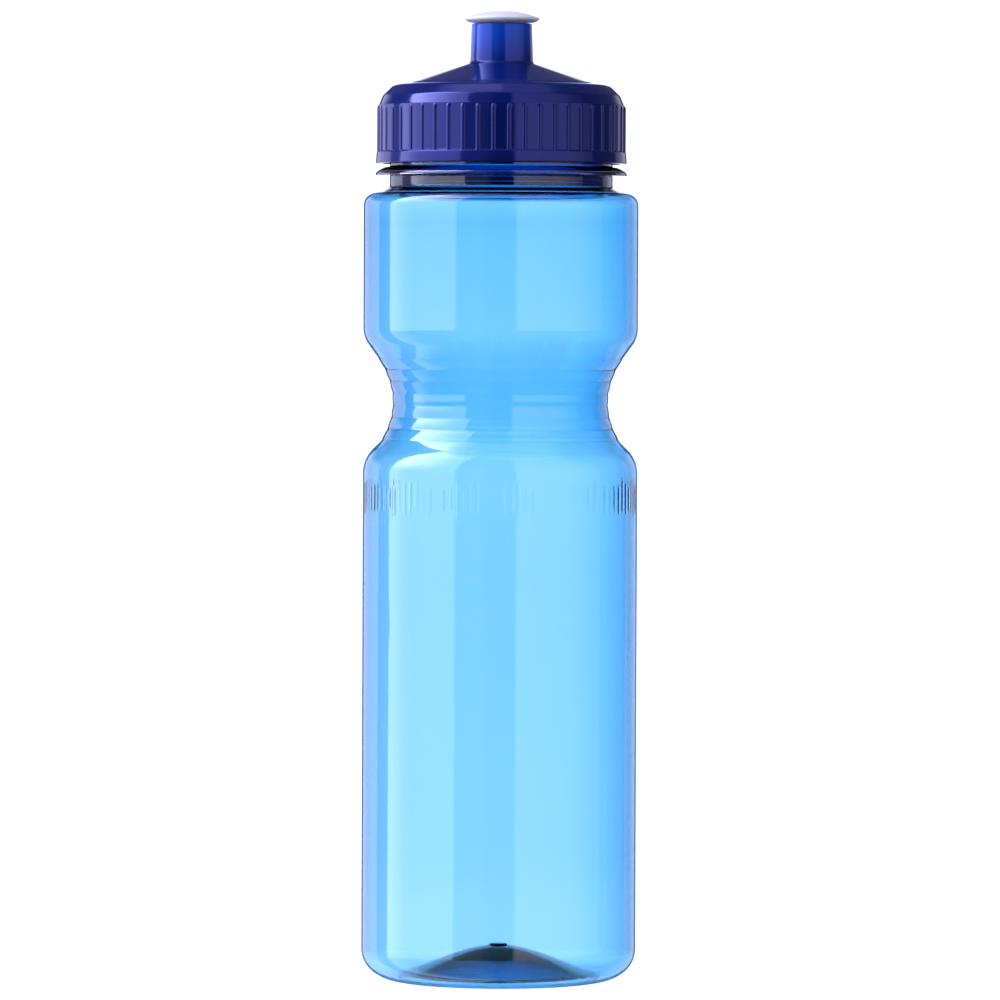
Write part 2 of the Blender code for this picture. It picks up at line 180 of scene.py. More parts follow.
# ---- Lid ----
LID_Z = LID_LOW[2]
LID_FOOT_R = 33.35 * MM
LID_LAND_R = 32.72 * MM
LID_SKIRT_IN_R = 31.45 * MM
LID_EDGE = 0.3 * MM
LID_OUT_SPACING = 0.8 * MM
LID_IN_SPACING = 0.45 * MM
SEAT_Z = GASKET_HIGH[2] + 0.3 * MM
SEAT_IN_R = 26.2 * MM
SEAT_OUT_R = 30.3 * MM
RIBS = 50
RIB_HEIGHT = 0.33 * MM
RIB_HALF_WIDTH = 0.62 * MM
RIB_LOW_Z = 219.6 * MM
RIB_HIGH_Z = 232.5 * MM
RIB_FOOT = 0.2 * MM
RIB_TIP = 0.7 * MM
RIB_TIP_SLOPE = 0.6
CONE_LOW = (24.2 * MM, 238.55 * MM)
CONE_HIGH = (8.75 * MM, 243.6 * MM)
CONE_IN_LOW = (24.2 * MM, 237.02 * MM)
CONE_IN_HIGH = (8.0 * MM, 242.2 * MM)
SPOUT_TOP_Z = 254.15 * MM
SPOUT_TOP_R = 8.0 * MM
SPOUT_BORE_R = 7.1 * MM
SPOUT_LIP_R = 6.6 * MM

# The sealing pin in the spout and the spokes that hold it
PIN_R = 2.0 * MM
PIN_LOW_Z = 242 * MM
SPOKES = 3
SPOKE_LENGTH = 7.6 * MM
SPOKE_WIDTH = 1.5 * MM
SPOKE_Z = 242.9 * MM

# ---- Valve ----
VALVE_BOTTOM_Z = VALVE_LOW[2]
VALVE_TOP_Z = VALVE_HIGH[2]
VALVE_DOME_SPHERE_R = 27.7 * MM
VALVE_GAP = 0.3 * MM
VALVE_BORE_R = 5.0 * MM
VALVE_SEGMENTS = 144
DRINKING_HOLE_R = 2.3 * MM
BRIM_UNDER_Z = 255.5 * MM

# ---- Gasket ----
GASKET_BORE_R = 26.7 * MM
GASKET_ROUND = 0.4 * MM
GASKET_SEGMENTS = 160

SMOOTH_ANGLE = radians(40)


# ---------------------------------------------------------------- outlines

def arc(centre_r, centre_z, radius, start, end, steps):
    """Points of a circular arc in the (r, z) plane, from +r towards +z, in degrees."""
    turns = [radians(start + (end - start) * i / steps) for i in range(steps + 1)]
    return [(centre_r + radius * cos(t), centre_z + radius * sin(t)) for t in turns]


def line(start, end, steps):
    """Points from start up to but not including end."""
    ratios = [i / steps for i in range(steps)]
    return [(start[0] + (end[0] - start[0]) * t, start[1] + (end[1] - start[1]) * t) for t in ratios]


def round_corners(points, radii, steps=4):
    """Replace each inner corner of a path by an arc-like curve of the given reach."""
    result = [points[0]]
    for before, corner, after, reach in zip(points, points[1:], points[2:], radii):
        here = Vector(corner)
        first = here + (Vector(before) - here).normalized() * reach
        last = here + (Vector(after) - here).normalized() * reach
        for i in range(steps + 1):
            t = i / steps
            point = first * (1 - t) ** 2 + here * 2 * t * (1 - t) + last * t ** 2
            result.append((point.x, point.y))
    result.append(points[-1])
    return result


def densify(points, spacing):
    """Split the long steps of a path into equal ones of about the spacing."""
    result = []
    for start, end in zip(points, points[1:]):
        length = sqrt((end[0] - start[0]) ** 2 + (end[1] - start[1]) ** 2)
        result += line(start, end, max(1, round(length / spacing)))
    return result + [points[-1]]


def sphere_cap(top_z, sphere_r, inner_r, edge_r, steps):
    """Points of a dome from one radius to another."""
    radii = [inner_r + (edge_r - inner_r) * i / steps for i in range(steps + 1)]
    return [(r, top_z - sphere_r + sqrt(sphere_r ** 2 - r ** 2)) for r in radii]


def floor_hill(top_z, edge_z, sphere_r, steps):
    """The pushed-up floor from the gate out to the foot: halfway between a dome and a soft wave."""
    result = []
    for r, z in sphere_cap(top_z, sphere_r, GATE_R + GATE_EDGE, FLOOR_CAP_R, steps):
        wave = edge_z + (top_z - edge_z) * (0.5 + 0.5 * cos(pi * r / (FLOOR_CAP_R + MM)))
        result.append((r, (z + wave) / 2))
    return result


def smooth(low, high, value):
    """0 below low, 1 above high, and a smooth rise between them."""
    t = min(1.0, max(0.0, (value - low) / (high - low)))
    return t * t * (3 - 2 * t)


# ---------------------------------------------------------------- meshes

def turned(name, outline, angles, shape=None):
    """A closed mesh turned about Z from a closed outline; shape(r, z, angle, index) moves its points."""
    bm = bmesh.new()
    rings = []
    for index, (r, z) in enumerate(outline):
        if r < ON_AXIS:
            rings.append([bm.verts.new((0, 0, z))])
            continue
        ring = []
        for angle in angles:
            new_r, new_z = shape(r, z, angle, index) if shape else (r, z)
            ring.append(bm.verts.new((new_r * cos(angle), new_r * sin(angle), new_z)))
        rings.append(ring)
    count = len(angles)
    for lower, upper in zip(rings, rings[1:] + rings[:1]):
        if len(lower) == 1 and len(upper) == 1:
            continue
        for i in range(count):
            j = (i + 1) % count
            corners = [lower[i % len(lower)], lower[j % len(lower)]]
            corners += [upper[j % len(upper)], upper[i % len(upper)]]
            bm.faces.new(list(dict.fromkeys(corners)))
    bmesh.ops.recalc_face_normals(bm, faces=bm.faces)
    return add_mesh(name, bm)


def add_mesh(name, bm):
    """Put a finished bmesh in the scene, smooth but for its sharp edges."""
    mesh = bpy.data.meshes.new(name)
    bm.to_mesh(mesh)
    bm.free()
    mesh.shade_smooth()
    mesh.set_sharp_from_angle(angle=SMOOTH_ANGLE)
    obj = bpy.data.objects.new(name, mesh)
    bpy.context.scene.collection.objects.link(obj)
    return obj


def even_angles(count):
    return [2 * pi * i / count for i in range(count)]


def thread_height(angle, z, middle_z, height):
    """Height of the trapezoid thread at a place on the wall, fading out at both ends."""
    best = 0.0
    half = THREAD_TURNS / 2
    for wrap in (-1, 0, 1):
        turns = angle / (2 * pi) + wrap - half
        if abs(turns) > half:
            continue
        off = abs(z - middle_z - THREAD_LEAD * turns)
        rise = 1 - smooth(THREAD_CREST_HALF, THREAD_ROOT_HALF, off)
        fade = smooth(0, THREAD_FADE_TURNS, half - abs(turns))
        best = max(best, rise * fade * height)
    return best


# ---------------------------------------------------------------- bottle

def crease(index):
    """Radius and height of one crease of the waist."""
    z = CREASE_LOW_Z + CREASE_PITCH * index
    return WAIST_R + WAIST_CURVE * (z - WAIST_Z) ** 2, z


def waist_path():
    """The waist's bands from the lowest crease to the highest."""
    points = [crease(0)]
    for i in range(CREASE_BANDS):
        (low_r, low_z), (high_r, high_z) = crease(i), crease(i + 1)
        for step in range(1, BAND_STEPS + 1):
            t = step / BAND_STEPS
            r = low_r + (high_r - low_r) * t + BAND_BULGE * 4 * t * (1 - t)
            points.append((r, low_z + (high_z - low_z) * t))
    return points


def shoulder_path(side, inset):
    """From the body's cylinder to the waist; side is -1 below the waist and +1 above it."""
    last, radius, turn = crease(0), LOW_SHOULDER_R, LOW_SHOULDER_TURN
    if side > 0:
        last, radius, turn = crease(CREASE_BANDS), HIGH_SHOULDER_R, HIGH_SHOULDER_TURN
    straight_r = BODY_R - radius * (1 - cos(radians(turn))) - last[0]
    centre_z = last[1] + side * (straight_r / tan(radians(turn)) + radius * sin(radians(turn)))
    return arc(BODY_R - radius, centre_z, radius - inset, 0, -side * turn, SHOULDER_STEPS)


def foot_corner(inset, steps):
    """The elliptical corner from the foot ring up to the body's cylinder."""
    width = BODY_R - FOOT_RING_OUT_R - inset
    height = FOOT_CORNER_HEIGHT - inset
    turns = [pi / 2 * i / steps for i in range(steps + 1)]
    return [(FOOT_RING_OUT_R + width * sin(t), FOOT_CORNER_HEIGHT - height * cos(t)) for t in turns]


def support_ring():
    """The neck from the shoulder up past the ring that the bottle hangs from when it is blown."""
    low, high = SUPPORT_RING_LOW_Z, SUPPORT_RING_HIGH_Z
    ring = [(NECK_R, NECK_LOW_Z), (NECK_R, low), (SUPPORT_RING_R, low + 0.05 * MM)]
    ring += [(SUPPORT_RING_R, low + 0.75 * MM), (32.6 * MM, high - 0.8 * MM)]
    return ring + [(31.1 * MM, high - 0.1 * MM), (NECK_R, high)]


def top_shoulder(inset, start, end):
    """The rounding between the body's cylinder and the neck, from one angle to another in degrees."""
    radius = TOP_SHOULDER_R - inset
    return arc(BODY_R - TOP_SHOULDER_R, TOP_SHOULDER_Z, radius, start, end, TOP_SHOULDER_STEPS)


def outer_path():
    """From the middle of the underside out, up the body, over the neck's rim."""
    gate_low = FLOOR_UNDER_Z - GATE_DROP
    path = [(0, gate_low), (GATE_R - GATE_EDGE, gate_low), (GATE_R, gate_low + 0.3 * MM)]
    path += floor_hill(FLOOR_UNDER_Z, FLOOR_UNDER_EDGE_Z, FLOOR_UNDER_SPHERE_R, UNDER_FLOOR_STEPS)
    path += [(FLOOR_CAP_R + FOOT_RING_EDGE, 0.5 * MM), (FOOT_RING_IN_R, 0.15 * MM)]
    path += [(FOOT_RING_IN_R + FOOT_RING_EDGE, 0)]
    path += foot_corner(0, FOOT_OUT_STEPS)
    path += shoulder_path(-1, 0)
    path += waist_path()
    path += shoulder_path(1, 0)[::-1]
    top = top_shoulder(0, 0, TOP_SHOULDER_TURN)
    neck = [top[-1]] + support_ring() + [(NECK_R, RIM_Z), (NECK_BORE_R, RIM_Z)]
    reach = [0.7, 0.4, 0.25, 0.5, 0.9, 0.6, 0.3, 0.35]
    return path + top[:-1] + round_corners(neck, [r * MM for r in reach], 6)[:-1]


def inner_path():
    """From the neck's bore down to the middle of the floor."""
    top = top_shoulder(SHOULDER_WALL, TOP_SHOULDER_IN_TURN, 0)
    neck = [(NECK_BORE_R - RIM_ROUND, RIM_Z), (NECK_BORE_R, RIM_Z), (NECK_BORE_R, NECK_BORE_LOW_Z)]
    neck += [NECK_FUNNEL, top[0]]
    path = round_corners(neck, [RIM_ROUND, 1.6 * MM, 0.6 * MM], 6)[1:]
    path += top[1:]
    path += shoulder_path(1, WALL)
    path += [(r - WALL, z) for r, z in reversed(waist_path())]
    path += shoulder_path(-1, WALL)[::-1]
    path += foot_corner(WALL, FOOT_IN_STEPS)[::-1]
    path += [(FLOOR_EDGE_IN_R, FLOOR_EDGE_Z)]
    path += floor_hill(FLOOR_TOP_Z, FLOOR_EDGE_Z, FLOOR_TOP_SPHERE_R, TOP_FLOOR_STEPS)[::-1]
    gate_high = FLOOR_TOP_Z + GATE_RISE
    return path + [(GATE_R, gate_high - 0.1 * MM), (GATE_R - 0.3 * MM, gate_high), (0, gate_high)]


def crease_bead(z):
    """The wall is thicker in the creases of the waist, most of all in the lowest one."""
    index = min(CREASE_BANDS, max(0, round((z - CREASE_LOW_Z) / CREASE_PITCH)))
    away = z - CREASE_LOW_Z - CREASE_PITCH * index
    height = LOW_CREASE_BEAD if index == 0 else CREASE_BEAD
    return height * exp(-(away / CREASE_BEAD_REACH) ** 2)


def extra_wall(z):
    """How much thicker the wall is at a height than the thinnest wall."""
    height = z / MM
    wall = WALL_PROFILE[-1][1]
    for (low, low_wall), (high, high_wall) in zip(WALL_PROFILE, WALL_PROFILE[1:]):
        if height < high:
            wall = low_wall + (high_wall - low_wall) * smooth(low, high, height)
            break
    return wall * MM - WALL + crease_bead(z)


def wall_ripple(angle, z):
    """The slight unevenness of the blown wall, with its dents."""
    if z < FOOT_CORNER_HEIGHT or z > TOP_SHOULDER_Z:
        return 0.0
    fade = smooth(FOOT_CORNER_HEIGHT, 2 * FOOT_CORNER_HEIGHT, z)
    fade *= 1 - smooth(RIPPLE_FADE_Z, TOP_SHOULDER_Z, z)
    place = Vector((cos(angle) * RIPPLE_ROUND, sin(angle) * RIPPLE_ROUND, z * RIPPLE_UP))
    ripple = noise.noise(place) * RIPPLE_HEIGHT
    for side, height, size, depth in DENTS:
        away = (angle - radians(side - 90) + pi) % (2 * pi) - pi
        distance = ((away * BODY_R) ** 2 + (z - height) ** 2) / size ** 2
        ripple -= depth * exp(-distance * 2)
    return ripple * fade


def make_bottle():
    """The body as one turned shell: the outside up to the neck's rim, then the inside back down."""
    outside = densify(outer_path(), BOTTLE_SPACING)
    low, high = NECK_THREAD_Z - THREAD_REACH, NECK_THREAD_Z + THREAD_REACH
    first = max(i for i, p in enumerate(outside) if p[1] < low and p[0] < NECK_R + 0.1 * MM)
    last = next(i for i in range(first + 1, len(outside)) if outside[i][1] > high)
    threaded = densify([outside[first], outside[last]], THREAD_SPACING)
    outside = outside[:first] + threaded + outside[last + 1:]
    inside = densify(inner_path(), BOTTLE_SPACING)
    outer_count = len(outside)

    def shape(r, z, angle, index):
        outer = index < outer_count
        if r > WAIST_R - MM and z < TOP_SHOULDER_Z:
            r += wall_ripple(angle, z)
            r -= 0 if outer else extra_wall(z)
        elif outer and abs(r - NECK_R) < ON_WALL and z > SUPPORT_RING_HIGH_Z:
            r += thread_height(angle, z, NECK_THREAD_Z, NECK_THREAD_HEIGHT)
        return r, z

    body = turned("clear_bottle", outside + inside, even_angles(BOTTLE_SEGMENTS), shape)
    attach(body, "bottle")
    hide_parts("bottle_body")
    return body


# ---------------------------------------------------------------- lid

def rib_angles():
    """Angles around the lid, close together on the ribs and wide apart between them."""
    fractions = (0.0, 0.05, 0.09, 0.125, 0.16, 0.2, 0.35, 0.65, 0.8, 0.84, 0.875, 0.91, 0.95)
    return [2 * pi * (i + f) / RIBS for i in range(RIBS) for f in fractions]


def rib_height(angle, z):
    """How far the rounded ribs stand out of the skirt at a place."""
    place = angle / (2 * pi) * RIBS
    across = abs(place - round(place)) * 2 * pi / RIBS * LID_LAND_R
    profile = sqrt(max(0.0, 1 - (across / RIB_HALF_WIDTH) ** 2))
    foot = smooth(RIB_LOW_Z, RIB_LOW_Z + RIB_FOOT, z)
    return RIB_HEIGHT * profile * foot * smooth(0, RIB_TIP, RIB_HIGH_Z - z - across * RIB_TIP_SLOPE)


def lid_outer_path():
    """From the skirt's foot up over the edge and the cone to the spout's lip."""
    points = [(LID_SKIRT_IN_R + LID_EDGE, LID_Z), (LID_FOOT_R, LID_Z), (33.15 * MM, 219.95 * MM)]
    points += [(LID_LAND_R, 220.25 * MM), (LID_LAND_R, 232.2 * MM), (32.45 * MM, 232.75 * MM)]
    points += [(31.5 * MM, 235.1 * MM), (29.1 * MM, 237.45 * MM), (28.3 * MM, 237.85 * MM)]
    points += [(24.7 * MM, 238.25 * MM), CONE_LOW, CONE_HIGH, (8.35 * MM, 244.05 * MM)]
    points += [(SPOUT_TOP_R, SPOUT_TOP_Z), (SPOUT_LIP_R, SPOUT_TOP_Z)]
    reach = [0.3, 0.2, 0.15, 0.3, 0.25, 0.3, 0.35, 0.25, 0.25, 0.25, 0.3, 0.2, 0.35]
    return round_corners(points, [r * MM for r in reach], 4)


def lid_inner_path():
    """From the spout's lip down its bore, under the cone, past the gasket's seat to the skirt's foot."""
    points = [(SPOUT_LIP_R, SPOUT_TOP_Z), (SPOUT_LIP_R, 252.9 * MM), (SPOUT_BORE_R, 252.4 * MM)]
    points += [(SPOUT_BORE_R, CONE_IN_HIGH[1]), CONE_IN_HIGH, CONE_IN_LOW]
    points += [(SEAT_IN_R, SEAT_Z + MM), (SEAT_IN_R, SEAT_Z), (SEAT_OUT_R, SEAT_Z)]
    points += [(LID_SKIRT_IN_R, 232.9 * MM), (LID_SKIRT_IN_R, LID_Z + LID_EDGE)]
    points += [(LID_SKIRT_IN_R + LID_EDGE, LID_Z)]
    reach = [0.1, 0.15, 0.3, 0.3, 0.5, 0.3, 0.2, 0.4, 0.4, 0.1]
    return round_corners(points, [r * MM for r in reach], 3)


def make_lid():
    """The lid as one turned shell, with ribs on its outside and the female thread on its inside."""
    outside = densify(lid_outer_path(), LID_OUT_SPACING)
    inside = densify(lid_inner_path(), LID_IN_SPACING)
    outer_count = len(outside)

    def shape(r, z, angle, index):
        if index < outer_count:
            if RIB_LOW_Z < z < RIB_HIGH_Z and r > 32 * MM:
                r = max(r, LID_LAND_R + rib_height(angle, z))
        elif abs(r - LID_SKIRT_IN_R) < ON_WALL:
            r -= thread_height(angle, z, NECK_THREAD_Z - LID_THREAD_DROP, LID_THREAD_HEIGHT)
        return r, z

    lid = turned("lid_shell", outside[:-1] + inside[:-1], rib_angles(), shape)
    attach(lid, "lid")
    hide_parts("screw_lid")
    return lid


def make_pin():
    """The sealing pin and its three spokes."""
    top = LID_HIGH[2]
    path = [(0, PIN_LOW_Z), (PIN_R, PIN_LOW_Z), (PIN_R, top), (0, top)]
    path = round_corners(path, [0.3 * MM, 0.6 * MM], 5)
    pin = turned("sealing_pin", densify(path, 2 * MM), even_angles(48))
    for index in range(SPOKES):
        bm = bmesh.new()
        bmesh.ops.create_cube(bm, size=1.0)
        bmesh.ops.scale(bm, verts=bm.verts, vec=(SPOKE_LENGTH, SPOKE_WIDTH, SPOKE_WIDTH))
        bmesh.ops.translate(bm, verts=bm.verts, vec=(SPOKE_LENGTH / 2, 0, SPOKE_Z))
        bmesh.ops.bevel(bm, geom=bm.edges, offset=0.3 * MM, segments=3, affect="EDGES")
        bmesh.ops.rotate(bm, verts=bm.verts, matrix=Matrix.Rotation(2 * pi * index / SPOKES, 3, "Z"))
        spoke = add_mesh("spoke", bm)
        union = pin.modifiers.new("Join", "BOOLEAN")
        union.operation = "UNION"
        union.object = spoke
        with bpy.context.temp_override(object=pin, active_object=pin):
            bpy.ops.object.modifier_apply(modifier=union.name)
        bpy.data.objects.remove(spoke)
    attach(pin, "lid")
    return pin


# ---------------------------------------------------------------- valve and gasket

def make_valve():
    """A hollow stem with a stop bead at its foot, and a domed brim with the drinking hole."""
    stem_r = SPOUT_LIP_R - VALVE_GAP
    bead_r = SPOUT_BORE_R - VALVE_GAP
    low = VALVE_BOTTOM_Z
    under = SPOUT_TOP_Z + VALVE_GAP
    points = [(VALVE_BORE_R, low), (stem_r, low), (bead_r, low + 0.5 * MM), (bead_r, low + 2.3 * MM)]
    points += [(stem_r, low + 2.8 * MM), (stem_r, under), (8.6 * MM, under), (9.85 * MM, 255.05 * MM)]
    points += [(10.02 * MM, 255.7 * MM), (9.2 * MM, 256.02 * MM), (8.9 * MM, 256.12 * MM)]
    reach = [0.15, 0.2, 0.2, 0.2, 0.3, 0.4, 0.3, 0.35, 0.2]
    path = round_corners(points, [r * MM for r in reach], 5)
    path += sphere_cap(VALVE_TOP_Z + 0.12 * MM, VALVE_DOME_SPHERE_R, 8.4 * MM, 3.0 * MM, 10)
    top = path[-1][1]
    hole = [path.pop(), (DRINKING_HOLE_R, top + 0.03 * MM), (DRINKING_HOLE_R, BRIM_UNDER_Z)]
    hole += [(VALVE_BORE_R, BRIM_UNDER_Z), (VALVE_BORE_R, low)]
    path += round_corners(hole, [0.35 * MM, 0.1 * MM, 0.4 * MM], 4)
    valve = turned("drinking_valve", densify(path[:-1], 1.5 * MM), even_angles(VALVE_SEGMENTS))
    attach(valve, "valve")
    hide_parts("pull_valve")
    return valve


def make_gasket():
    """The flat washer under the lid, starting on its lower face so that all four corners are rounded."""
    inner, outer = GASKET_BORE_R, GASKET_HIGH[0]
    low, high = GASKET_LOW[2], GASKET_HIGH[2]
    middle = (inner + outer) / 2
    points = [(middle, low), (outer, low), (outer, high), (inner, high), (inner, low), (middle, low)]
    path = round_corners(points, [GASKET_ROUND] * 4, 5)
    gasket = turned("sealing_washer", path[:-1], even_angles(GASKET_SEGMENTS))
    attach(gasket, "gasket")
    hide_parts("lid_gasket")
    return gasket


# ---------------------------------------------------------------- materials

# PET: the tint is absorbed in its thickness, so thick places come out dark
PET_IOR = 1.575
PET_TINT = (0.0, 0.68, 0.86, 1)
PET_DENSITY = 1950.0

LID_DARK = (0.002, 0.0085, 0.095, 1)
# Painted glow: a lighter blue for the spout's end of the base colour, standing in for light that gets
# through the spout's thin wall
LID_SPOUT_PAINTED_GLOW = (0.001, 0.075, 0.5, 1)
PAINTED_GLOW_LOW_Z = 243.5 * MM
LID_IOR = 1.6
LID_REFLECTION = (0.18, 0.19, 0.52, 1)
LID_MOTTLE_SHARE = 0.12

VALVE_COLORS = (0.62, 0.62, 0.62, 1), (0.72, 0.72, 0.70, 1)
VALVE_LIGHT_INSIDE = 0.35
VALVE_LIGHT_REACH = (0.8, 0.9, 1.0)
VALVE_LIGHT_SCALE = 2 * MM

WASHER_COLORS = (0.60, 0.61, 0.63, 1), (0.74, 0.75, 0.77, 1)

# Noise is taken where it varies most
NOISE_LOW, NOISE_HIGH = 0.3, 0.7


def new_material(name):
    material = bpy.data.materials.new(name)
    material.use_nodes = True
    nodes = material.node_tree.nodes
    return material, nodes, material.node_tree.links, nodes["Principled BSDF"]


def noise_node(nodes, links, scale, detail):
    place = nodes.new("ShaderNodeTexCoord")
    texture = nodes.new("ShaderNodeTexNoise")
    texture.inputs["Scale"].default_value = scale
    texture.inputs["Detail"].default_value = detail
    links.new(place.outputs["Object"], texture.inputs["Vector"])
    return texture


def map_range(nodes, links, source, low, high, to_low, to_high):
    node = nodes.new("ShaderNodeMapRange")
    node.inputs["From Min"].default_value = low
    node.inputs["From Max"].default_value = high
    node.inputs["To Min"].default_value = to_low
    node.inputs["To Max"].default_value = to_high
    links.new(source, node.inputs["Value"])
    return node.outputs["Result"]


def color_between(nodes, links, factor, first, last):
    """A colour that goes from the first to the last with the factor."""
    colors = nodes.new("ShaderNodeValToRGB")
    colors.color_ramp.elements[0].color = first
    colors.color_ramp.elements[1].color = last
    links.new(factor, colors.inputs["Fac"])
    return colors.outputs["Color"]


def split_place(nodes, links):
    """The object's own coordinates, whole and split into x, y and z."""
    place = nodes.new("ShaderNodeTexCoord")
    split = nodes.new("ShaderNodeSeparateXYZ")
    links.new(place.outputs["Object"], split.inputs["Vector"])
    return place.outputs["Object"], split.outputs


def add_bump(nodes, links, height, strength, distance, shader):
    bump = nodes.new("ShaderNodeBump")
    bump.inputs["Strength"].default_value = strength
    bump.inputs["Distance"].default_value = distance
    links.new(height, bump.inputs["Height"])
    links.new(bump.outputs["Normal"], shader.inputs["Normal"])


class NodeMath:
    """Short calls for math nodes in one shader tree."""

    def __init__(self, tree):
        self.nodes = tree.nodes
        self.links = tree.links

    def put(self, socket, value):
        if isinstance(value, (int, float)):
            socket.default_value = value
        else:
            self.links.new(value, socket)

    def math(self, operation, first, second=0.0):
        node = self.nodes.new("ShaderNodeMath")
        node.operation = operation
        self.put(node.inputs[0], first)
        self.put(node.inputs[1], second)
        return node.outputs[0]

    def step(self, value, edge, soft):
        """0 below the edge and 1 above it, with a soft rise."""
        node = self.nodes.new("ShaderNodeMapRange")
        node.interpolation_type = "SMOOTHSTEP"
        self.put(node.inputs["Value"], self.math("SUBTRACT", value, edge))
        node.inputs["From Min"].default_value = -soft
        node.inputs["From Max"].default_value = soft
        return node.outputs["Result"]

    def below(self, value, edge, soft):
        """1 below the edge and 0 above it, with a soft fall."""
        return self.math("SUBTRACT", 1.0, self.step(value, edge, soft))

    def mix(self, factor, first, second):
        """first where the factor is 0, second where it is 1."""
        gap = self.math("SUBTRACT", second, first)
        return self.math("ADD", first, self.math("MULTIPLY", factor, gap))

    def ramp(self, value, points):
        """A smooth curve through (position, value) points, as a chain of soft steps."""
        result = points[0][1]
        for (low, before), (high, after) in zip(points, points[1:]):
            factor = self.step(value, (low + high) / 2, (high - low) / 2)
            result = self.math("ADD", result, self.math("MULTIPLY", factor, after - before))
        return result

    def random(self, value, seed):
        """A number from 0 to 1 for each value, in a series picked by the seed."""
        node = self.nodes.new("ShaderNodeTexWhiteNoise")
        node.noise_dimensions = "1D"
        self.put(node.inputs["W"], self.math("ADD", value, seed))
        return node.outputs["Value"]


def relief_height(w, place):
    """The raised band around the body: upright bars of mixed widths and lengths with soft edges."""
    x, y, z = place
    around = w.math("MULTIPLY", w.math("ARCTAN2", y, x), RELIEF_BARS / (2 * pi))
    up = w.math("DIVIDE", w.math("SUBTRACT", z, RELIEF_LOW_Z), RELIEF_HIGH_Z - RELIEF_LOW_Z)
    index = w.math("FLOOR", around)
    across = w.math("ABSOLUTE", w.math("SUBTRACT", w.math("FRACT", around), 0.5))
    extra = w.math("MULTIPLY", w.random(index, BAR_WIDTH_SEED), BAR_EXTRA_WIDTH)
    bar = w.below(across, w.math("ADD", BAR_HALF_WIDTH, extra), BAR_EDGE)
    low = w.math("MULTIPLY", w.random(index, BAR_LOW_SEED), BAR_LOW_SPREAD)
    cut = w.math("MULTIPLY", w.random(index, BAR_HIGH_SEED), BAR_HIGH_SPREAD)
    high = w.math("SUBTRACT", 1.0, cut)
    above = w.step(up, w.math("ADD", low, BAR_END), BAR_END)
    below = w.below(up, w.math("SUBTRACT", high, BAR_END), BAR_END)
    extra_depth = w.math("MULTIPLY", w.random(index, BAR_DEPTH_SEED), 1 - BAR_LEAST_DEPTH)
    depth = w.math("ADD", BAR_LEAST_DEPTH, extra_depth)
    height = w.math("MULTIPLY", w.math("MULTIPLY", bar, depth), w.math("MULTIPLY", above, below))
    radius = w.math("SQRT", w.math("ADD", w.math("MULTIPLY", x, x), w.math("MULTIPLY", y, y)))
    outside = w.step(radius, BODY_R - 0.2 * MM, ON_WALL)
    return w.math("MULTIPLY", height, w.mix(outside, INNER_RELIEF, 1.0))


def clear_plastic():
    """Blue-tinted PET: clear where it is blown thin, dark where it stays thick."""
    material, nodes, links, shader = new_material("tinted_pet")
    shader.inputs["Base Color"].default_value = (1, 1, 1, 1)
    shader.inputs["Roughness"].default_value = 0.0
    shader.inputs["IOR"].default_value = PET_IOR
    shader.inputs["Transmission Weight"].default_value = 1.0
    absorb = nodes.new("ShaderNodeVolumeAbsorption")
    absorb.inputs["Color"].default_value = PET_TINT
    absorb.inputs["Density"].default_value = PET_DENSITY
    links.new(absorb.outputs["Volume"], nodes["Material Output"].inputs["Volume"])

    place, split = split_place(nodes, links)
    stretch = nodes.new("ShaderNodeVectorMath")
    stretch.operation = "MULTIPLY"
    stretch.inputs[1].default_value = STREAK_SCALE
    links.new(place, stretch.inputs[0])
    streaks = nodes.new("ShaderNodeTexNoise")
    streaks.inputs["Scale"].default_value = 1.0
    streaks.inputs["Detail"].default_value = STREAK_DETAIL
    links.new(stretch.outputs["Vector"], streaks.inputs["Vector"])

    w = NodeMath(material.node_tree)
    streak_height = w.math("MULTIPLY", streaks.outputs["Fac"], STREAK_HEIGHT / RELIEF_HEIGHT)
    height = w.math("ADD", relief_height(w, split), streak_height)
    add_bump(nodes, links, height, 1.0, RELIEF_HEIGHT, shader)
    return material


def lid_plastic():
    """Dark blue plastic with a painted glow: its base colour is painted lighter up the thin spout, where
    more light gets into it.
    """
    material, nodes, links, shader = new_material("lid_blue")
    split = split_place(nodes, links)[1]
    # Painted glow: the base colour runs from the lid's dark blue to a lighter blue up the spout, in place
    # of the light that gets through its thin wall
    height = map_range(nodes, links, split["Z"], PAINTED_GLOW_LOW_Z, SPOUT_TOP_Z, 0, 1)
    mottle = noise_node(nodes, links, 60, 3)
    mix = nodes.new("ShaderNodeMix")
    mix.data_type = "RGBA"
    mix.blend_type = "MULTIPLY"
    mix.inputs["Factor"].default_value = LID_MOTTLE_SHARE
    links.new(color_between(nodes, links, height, LID_DARK, LID_SPOUT_PAINTED_GLOW), mix.inputs["A"])
    links.new(mottle.outputs["Color"], mix.inputs["B"])
    links.new(mix.outputs["Result"], shader.inputs["Base Color"])
    shader.inputs["IOR"].default_value = LID_IOR
    shader.inputs["Specular IOR Level"].default_value = 1.0
    shader.inputs["Specular Tint"].default_value = LID_REFLECTION
    roughness = map_range(nodes, links, mottle.outputs["Fac"], NOISE_LOW, NOISE_HIGH, 0.07, 0.12)
    links.new(roughness, shader.inputs["Roughness"])
    fine = noise_node(nodes, links, 900, 2)
    add_bump(nodes, links, fine.outputs["Fac"], 0.02, 0.2 * MM, shader)
    return material


